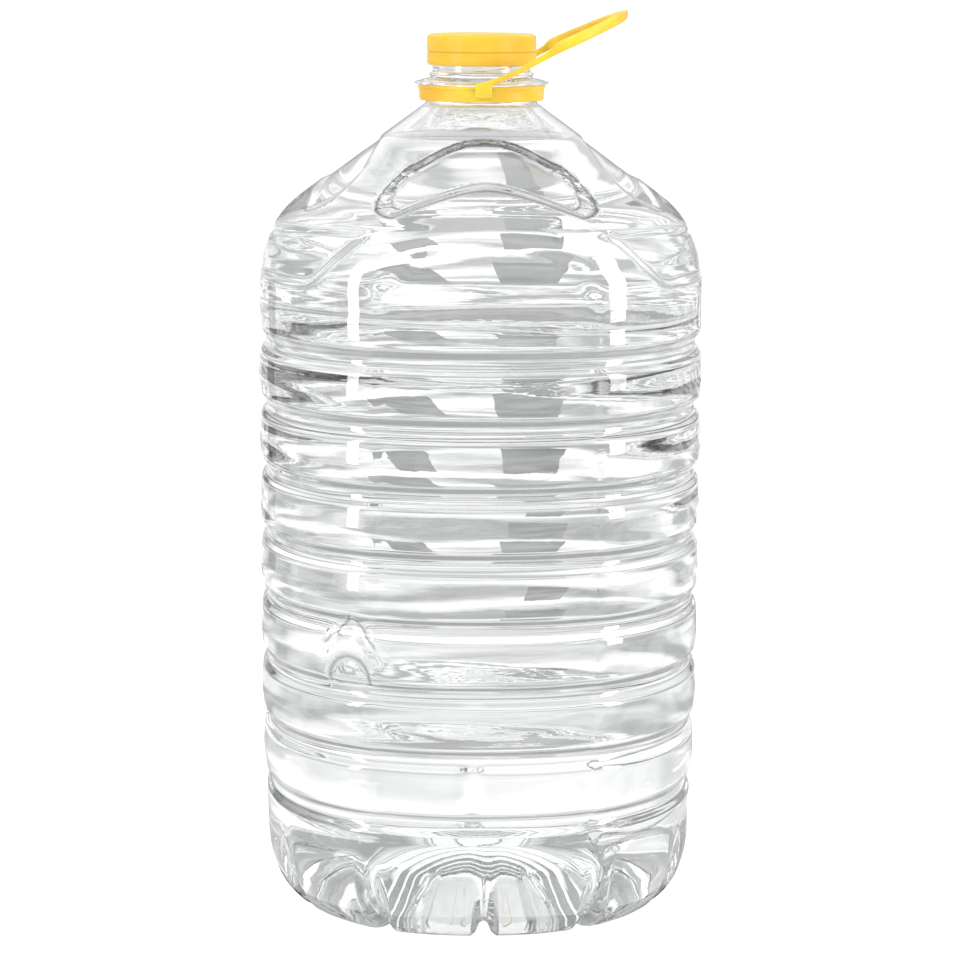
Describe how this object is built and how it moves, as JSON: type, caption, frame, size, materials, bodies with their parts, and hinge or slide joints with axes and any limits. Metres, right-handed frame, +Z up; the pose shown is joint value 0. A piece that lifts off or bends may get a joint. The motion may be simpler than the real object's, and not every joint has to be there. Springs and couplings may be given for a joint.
{
  "type": "large water bottle",
  "caption": "Large clear ribbed water bottle with cone shoulder, foot-ring base, screw cap and leaning carry handle, filled with water.",
  "frame": {"origin": "on the floor, under the middle of the bottle's body and neck", "axes": "+Z up along the bottle's axis; -Y is the front; the handle leans towards +X"},
  "size_m": [0.204, 0.204, 0.4143],
  "materials": {
    "clear_plastic": "clear, gloss",
    "water": "clear liquid",
    "yellow_cap_plastic": "semi-gloss moulded",
    "yellow_handle_plastic": "semi-gloss moulded"
  },
  "bodies": {
    "root": {"bottle": "clear_plastic", "water": "water", "cap": "yellow_cap_plastic", "handle": "yellow_handle_plastic"}
  },
  "joints": []
}
